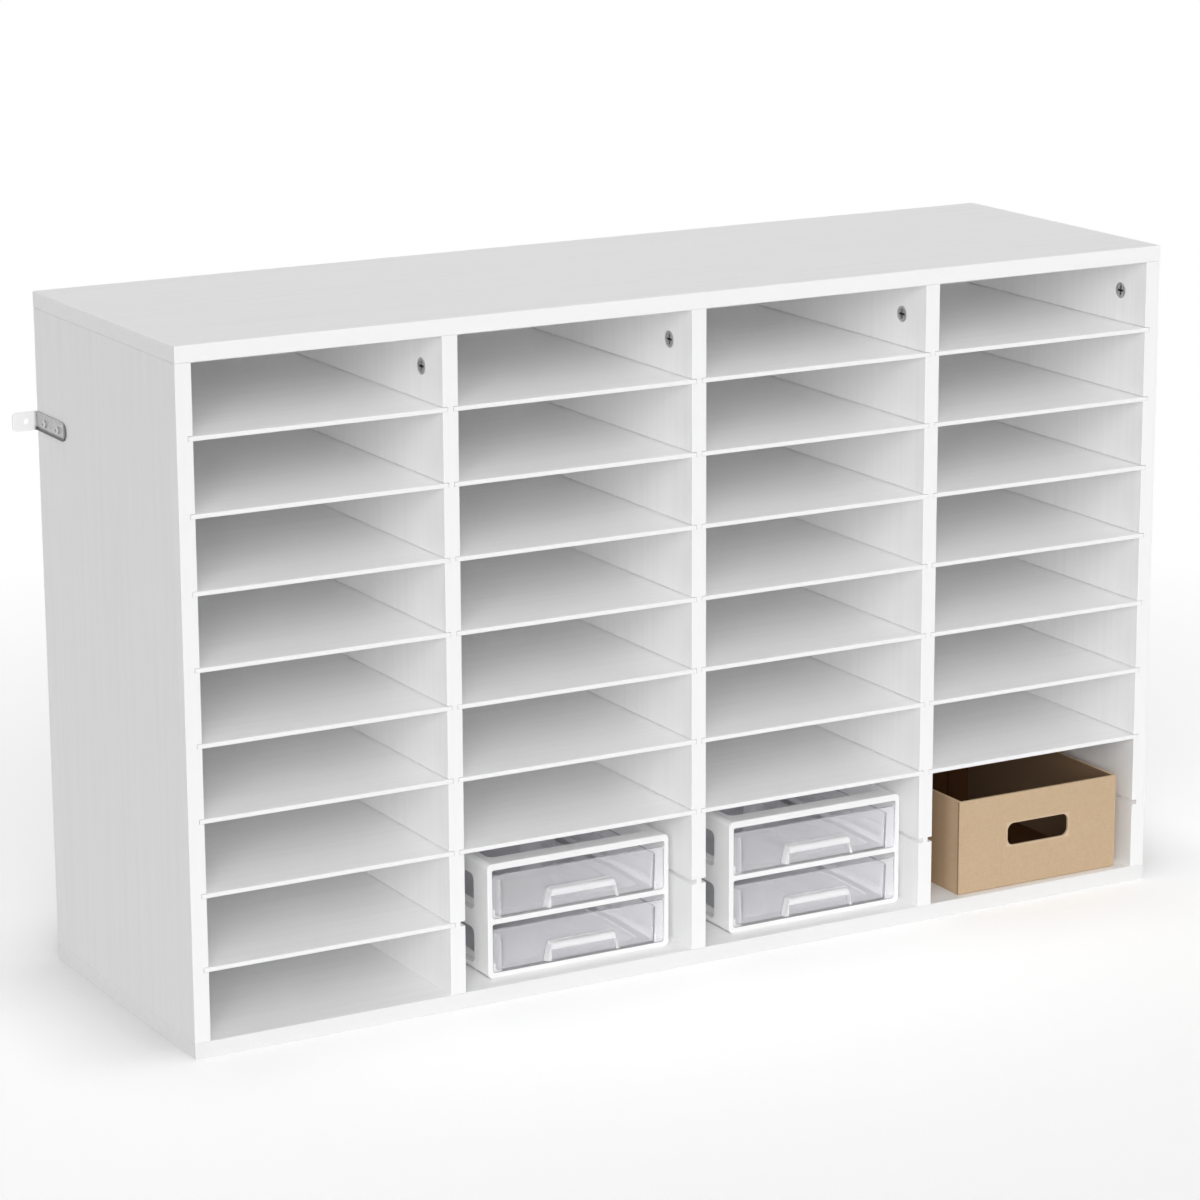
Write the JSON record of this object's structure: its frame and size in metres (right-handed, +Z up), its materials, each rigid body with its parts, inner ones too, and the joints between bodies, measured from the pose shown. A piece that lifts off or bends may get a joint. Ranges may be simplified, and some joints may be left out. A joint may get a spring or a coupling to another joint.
{
  "type": "literature organizer",
  "caption": "Wide board-built organizer of letter-size slots with pull-out shelves, two small drawer chests and an open card box.",
  "frame": {"origin": "middle of the underside, on the surface the organizer stands on", "axes": "+X to the right along the width, -Y towards the front where the slots open, +Z up"},
  "size_m": [1.024, 0.31, 0.62],
  "materials": {
    "white_board": "white melamine on particle board, satin",
    "shelf_board": "thin white faced hardboard, satin",
    "back_board": "white faced hardboard",
    "cam_zinc": "plain zinc die casting, matt",
    "screw_steel": "zinc plated steel",
    "bracket_steel": "zinc plated steel strip",
    "frame_plastic": "white moulded plastic",
    "clear_plastic": "clear moulded plastic",
    "kraft_card": "brown kraft card"
  },
  "bodies": {
    "cabinet": {"bottom_panel": "white_board", "top_panel": "white_board", "left_side_panel": "white_board", "right_side_panel": "white_board", "back_panel": "back_board", "divider_1": "white_board", "divider_2": "white_board", "divider_3": "white_board", "cam_locks": "cam_zinc", "anti_tip_bracket": "bracket_steel", "bracket_screws": "screw_steel"},
    "kraft_box": {"kraft_box": "kraft_card"},
    "chest_a": {"chest_a_frame": "frame_plastic"},
    "chest_b": {"chest_b_frame": "frame_plastic"},
    "drawer_a_lower": {"chest_a_lower_drawer": "clear_plastic"},
    "drawer_a_upper": {"chest_a_upper_drawer": "clear_plastic"},
    "drawer_b_lower": {"chest_b_lower_drawer": "clear_plastic"},
    "drawer_b_upper": {"chest_b_upper_drawer": "clear_plastic"},
    "shelf_1_1": {"shelf_1_1": "shelf_board"},
    "shelf_1_2": {"shelf_1_2": "shelf_board"},
    "shelf_1_3": {"shelf_1_3": "shelf_board"},
    "shelf_1_4": {"shelf_1_4": "shelf_board"},
    "shelf_1_5": {"shelf_1_5": "shelf_board"},
    "shelf_1_6": {"shelf_1_6": "shelf_board"},
    "shelf_1_7": {"shelf_1_7": "shelf_board"},
    "shelf_1_8": {"shelf_1_8": "shelf_board"},
    "shelf_2_2": {"shelf_2_2": "shelf_board"},
    "shelf_2_3": {"shelf_2_3": "shelf_board"},
    "shelf_2_4": {"shelf_2_4": "shelf_board"},
    "shelf_2_5": {"shelf_2_5": "shelf_board"},
    "shelf_2_6": {"shelf_2_6": "shelf_board"},
    "shelf_2_7": {"shelf_2_7": "shelf_board"},
    "shelf_2_8": {"shelf_2_8": "shelf_board"},
    "shelf_3_2": {"shelf_3_2": "shelf_board"},
    "shelf_3_3": {"shelf_3_3": "shelf_board"},
    "shelf_3_4": {"shelf_3_4": "shelf_board"},
    "shelf_3_5": {"shelf_3_5": "shelf_board"},
    "shelf_3_6": {"shelf_3_6": "shelf_board"},
    "shelf_3_7": {"shelf_3_7": "shelf_board"},
    "shelf_3_8": {"shelf_3_8": "shelf_board"},
    "shelf_4_2": {"shelf_4_2": "shelf_board"},
    "shelf_4_3": {"shelf_4_3": "shelf_board"},
    "shelf_4_4": {"shelf_4_4": "shelf_board"},
    "shelf_4_5": {"shelf_4_5": "shelf_board"},
    "shelf_4_6": {"shelf_4_6": "shelf_board"},
    "shelf_4_7": {"shelf_4_7": "shelf_board"},
    "shelf_4_8": {"shelf_4_8": "shelf_board"}
  },
  "joints": [
    {"name": "box_slide", "type": "slide", "parent": "cabinet", "child": "kraft_box", "axis": [0, -1, 0], "range_m": [0, 0.27]},
    {"name": "chest_a_slide", "type": "slide", "parent": "cabinet", "child": "chest_a", "axis": [0, -1, 0], "range_m": [0, 0.27]},
    {"name": "chest_b_slide", "type": "slide", "parent": "cabinet", "child": "chest_b", "axis": [0, -1, 0], "range_m": [0, 0.27]},
    {"name": "drawer_a_lower_slide", "type": "slide", "parent": "chest_a", "child": "drawer_a_lower", "axis": [0, -1, 0], "range_m": [0, 0.215]},
    {"name": "drawer_a_upper_slide", "type": "slide", "parent": "chest_a", "child": "drawer_a_upper", "axis": [0, -1, 0], "range_m": [0, 0.215]},
    {"name": "drawer_b_lower_slide", "type": "slide", "parent": "chest_b", "child": "drawer_b_lower", "axis": [0, -1, 0], "range_m": [0, 0.215]},
    {"name": "drawer_b_upper_slide", "type": "slide", "parent": "chest_b", "child": "drawer_b_upper", "axis": [0, -1, 0], "range_m": [0, 0.215]},
    {"name": "shelf_1_1_slide", "type": "slide", "parent": "cabinet", "child": "shelf_1_1", "axis": [0, -1, 0], "range_m": [0, 0.3]},
    {"name": "shelf_1_2_slide", "type": "slide", "parent": "cabinet", "child": "shelf_1_2", "axis": [0, -1, 0], "range_m": [0, 0.3]},
    {"name": "shelf_1_3_slide", "type": "slide", "parent": "cabinet", "child": "shelf_1_3", "axis": [0, -1, 0], "range_m": [0, 0.3]},
    {"name": "shelf_1_4_slide", "type": "slide", "parent": "cabinet", "child": "shelf_1_4", "axis": [0, -1, 0], "range_m": [0, 0.3]},
    {"name": "shelf_1_5_slide", "type": "slide", "parent": "cabinet", "child": "shelf_1_5", "axis": [0, -1, 0], "range_m": [0, 0.3]},
    {"name": "shelf_1_6_slide", "type": "slide", "parent": "cabinet", "child": "shelf_1_6", "axis": [0, -1, 0], "range_m": [0, 0.3]},
    {"name": "shelf_1_7_slide", "type": "slide", "parent": "cabinet", "child": "shelf_1_7", "axis": [0, -1, 0], "range_m": [0, 0.3]},
    {"name": "shelf_1_8_slide", "type": "slide", "parent": "cabinet", "child": "shelf_1_8", "axis": [0, -1, 0], "range_m": [0, 0.3]},
    {"name": "shelf_2_2_slide", "type": "slide", "parent": "cabinet", "child": "shelf_2_2", "axis": [0, -1, 0], "range_m": [0, 0.3]},
    {"name": "shelf_2_3_slide", "type": "slide", "parent": "cabinet", "child": "shelf_2_3", "axis": [0, -1, 0], "range_m": [0, 0.3]},
    {"name": "shelf_2_4_slide", "type": "slide", "parent": "cabinet", "child": "shelf_2_4", "axis": [0, -1, 0], "range_m": [0, 0.3]},
    {"name": "shelf_2_5_slide", "type": "slide", "parent": "cabinet", "child": "shelf_2_5", "axis": [0, -1, 0], "range_m": [0, 0.3]},
    {"name": "shelf_2_6_slide", "type": "slide", "parent": "cabinet", "child": "shelf_2_6", "axis": [0, -1, 0], "range_m": [0, 0.3]},
    {"name": "shelf_2_7_slide", "type": "slide", "parent": "cabinet", "child": "shelf_2_7", "axis": [0, -1, 0], "range_m": [0, 0.3]},
    {"name": "shelf_2_8_slide", "type": "slide", "parent": "cabinet", "child": "shelf_2_8", "axis": [0, -1, 0], "range_m": [0, 0.3]},
    {"name": "shelf_3_2_slide", "type": "slide", "parent": "cabinet", "child": "shelf_3_2", "axis": [0, -1, 0], "range_m": [0, 0.3]},
    {"name": "shelf_3_3_slide", "type": "slide", "parent": "cabinet", "child": "shelf_3_3", "axis": [0, -1, 0], "range_m": [0, 0.3]},
    {"name": "shelf_3_4_slide", "type": "slide", "parent": "cabinet", "child": "shelf_3_4", "axis": [0, -1, 0], "range_m": [0, 0.3]},
    {"name": "shelf_3_5_slide", "type": "slide", "parent": "cabinet", "child": "shelf_3_5", "axis": [0, -1, 0], "range_m": [0, 0.3]},
    {"name": "shelf_3_6_slide", "type": "slide", "parent": "cabinet", "child": "shelf_3_6", "axis": [0, -1, 0], "range_m": [0, 0.3]},
    {"name": "shelf_3_7_slide", "type": "slide", "parent": "cabinet", "child": "shelf_3_7", "axis": [0, -1, 0], "range_m": [0, 0.3]},
    {"name": "shelf_3_8_slide", "type": "slide", "parent": "cabinet", "child": "shelf_3_8", "axis": [0, -1, 0], "range_m": [0, 0.3]},
    {"name": "shelf_4_2_slide", "type": "slide", "parent": "cabinet", "child": "shelf_4_2", "axis": [0, -1, 0], "range_m": [0, 0.3]},
    {"name": "shelf_4_3_slide", "type": "slide", "parent": "cabinet", "child": "shelf_4_3", "axis": [0, -1, 0], "range_m": [0, 0.3]},
    {"name": "shelf_4_4_slide", "type": "slide", "parent": "cabinet", "child": "shelf_4_4", "axis": [0, -1, 0], "range_m": [0, 0.3]},
    {"name": "shelf_4_5_slide", "type": "slide", "parent": "cabinet", "child": "shelf_4_5", "axis": [0, -1, 0], "range_m": [0, 0.3]},
    {"name": "shelf_4_6_slide", "type": "slide", "parent": "cabinet", "child": "shelf_4_6", "axis": [0, -1, 0], "range_m": [0, 0.3]},
    {"name": "shelf_4_7_slide", "type": "slide", "parent": "cabinet", "child": "shelf_4_7", "axis": [0, -1, 0], "range_m": [0, 0.3]},
    {"name": "shelf_4_8_slide", "type": "slide", "parent": "cabinet", "child": "shelf_4_8", "axis": [0, -1, 0], "range_m": [0, 0.3]}
  ]
}
